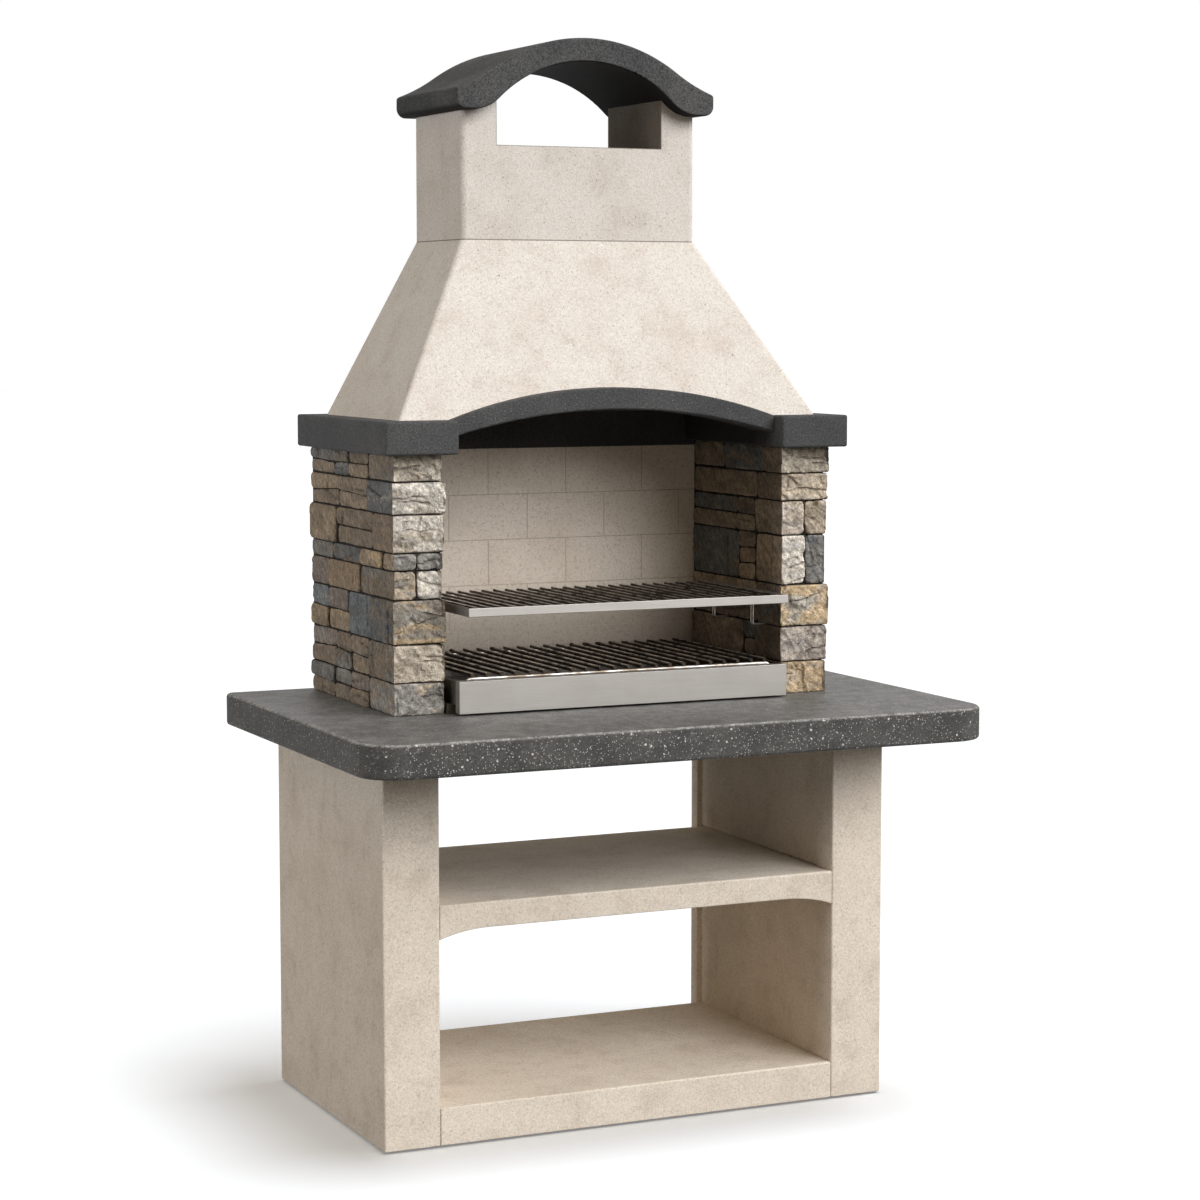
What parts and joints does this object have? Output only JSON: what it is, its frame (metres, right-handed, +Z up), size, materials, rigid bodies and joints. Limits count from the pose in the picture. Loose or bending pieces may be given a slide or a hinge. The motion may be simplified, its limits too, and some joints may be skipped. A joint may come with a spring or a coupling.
{
  "type": "garden barbecue with chimney",
  "caption": "Free-standing masonry garden barbecue: shelved base, dark worktop, stone-clad firebox with grill and ash tray, tapered hood and chimney with a curved cap.",
  "frame": {"origin": "on the floor, under the middle of the worktop", "axes": "+Z up, -Y to the front where the cook stands, +X to the cook's right when facing the barbecue"},
  "size_m": [1.36, 0.89, 2.2189],
  "materials": {
    "pale_cast_concrete": "cast, fine sandy grain",
    "speckled_worktop": "honed, pale specks",
    "anthracite_cast_concrete": "cast, fine grain",
    "split_stone": "split face, mixed tan, brown and grey",
    "refractory": "matte, thin joints",
    "tray_steel": "brushed",
    "grate_bars": "dark, heat-browned",
    "bright_rods": "drawn wire"
  },
  "bodies": {
    "barbecue": {"base_leg_left": "pale_cast_concrete", "base_leg_right": "pale_cast_concrete", "bottom_shelf": "pale_cast_concrete", "middle_shelf": "pale_cast_concrete", "hood": "pale_cast_concrete", "chimney_stack": "pale_cast_concrete", "left_wall_core": "pale_cast_concrete", "right_wall_core": "pale_cast_concrete", "back_panel": "pale_cast_concrete", "worktop": "speckled_worktop", "lintel_left_block": "anthracite_cast_concrete", "lintel_right_block": "anthracite_cast_concrete", "lintel_arch": "anthracite_cast_concrete", "lintel_back_beam": "anthracite_cast_concrete", "chimney_cap": "anthracite_cast_concrete", "left_stone_course_1": "split_stone", "left_stone_course_2": "split_stone", "left_stone_course_3": "split_stone", "left_stone_course_4": "split_stone", "left_stone_course_5": "split_stone", "left_stone_course_6": "split_stone", "left_stone_course_7": "split_stone", "left_stone_course_8": "split_stone", "right_stone_course_1": "split_stone", "right_stone_course_2": "split_stone", "right_stone_course_3": "split_stone", "right_stone_course_4": "split_stone", "right_stone_course_5": "split_stone", "right_stone_course_6": "split_stone", "right_stone_course_7": "split_stone", "back_brick_course_1": "refractory", "back_brick_course_2": "refractory", "back_brick_course_3": "refractory", "back_brick_course_4": "refractory", "back_brick_course_5": "refractory", "hearth_slab": "refractory", "front_left_grill_support": "bright_rods", "rear_left_grill_support": "bright_rods", "front_right_grill_support": "bright_rods", "rear_right_grill_support": "bright_rods"},
    "tray": {"tray_front": "tray_steel", "tray_pan": "tray_steel"},
    "charcoal_grate": {"charcoal_grate_bars": "grate_bars", "charcoal_grate_front_rod": "bright_rods", "charcoal_grate_rear_rod": "bright_rods"},
    "cooking_grill": {"grill_front_rail": "tray_steel", "grill_side_rail_left": "tray_steel", "grill_side_rail_right": "tray_steel", "grill_front_rod": "bright_rods", "grill_rear_rod": "bright_rods", "grill_bars": "grate_bars"}
  },
  "joints": [
    {"name": "tray_slide", "type": "slide", "parent": "barbecue", "child": "tray", "axis": [0, -1, 0], "range_m": [0, 0.31]},
    {"name": "charcoal_grate_lift", "type": "slide", "parent": "tray", "child": "charcoal_grate", "axis": [0, 0, 1], "range_m": [0, 0.09]},
    {"name": "cooking_grill_slide", "type": "slide", "parent": "barbecue", "child": "cooking_grill", "axis": [0, -1, 0], "range_m": [-0.11, 0.02]}
  ]
}
